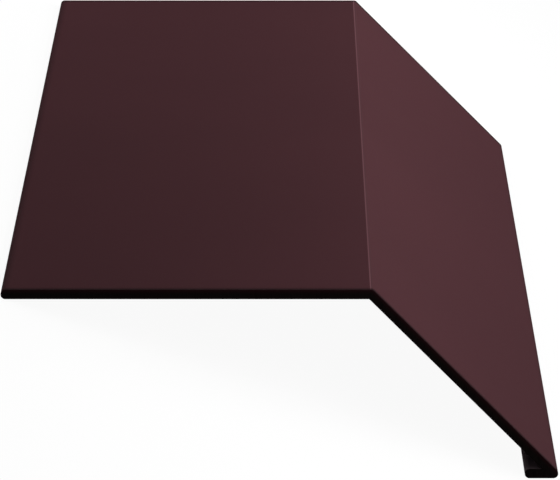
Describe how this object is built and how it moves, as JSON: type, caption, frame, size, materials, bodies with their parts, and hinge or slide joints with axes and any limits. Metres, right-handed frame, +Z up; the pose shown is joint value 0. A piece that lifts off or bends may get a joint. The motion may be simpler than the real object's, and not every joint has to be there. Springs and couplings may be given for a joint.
{
  "type": "eaves flashing",
  "caption": "Folded eaves flashing: a flat flange for under the roof covering, a face sloping down over the eaves board and a turned-in drip lip along its bottom edge.",
  "frame": {"origin": "on the floor, under the middle of the piece as it lies on the flange's free edge and the drip lip", "axes": "+Y along the length, +X from the flange's free edge towards the drip lip, +Z up"},
  "size_m": [0.1588, 0.5, 0.0351],
  "materials": {
    "brown_coating": "matte"
  },
  "bodies": {
    "root": {"eaves_flashing": "brown_coating"}
  },
  "joints": []
}
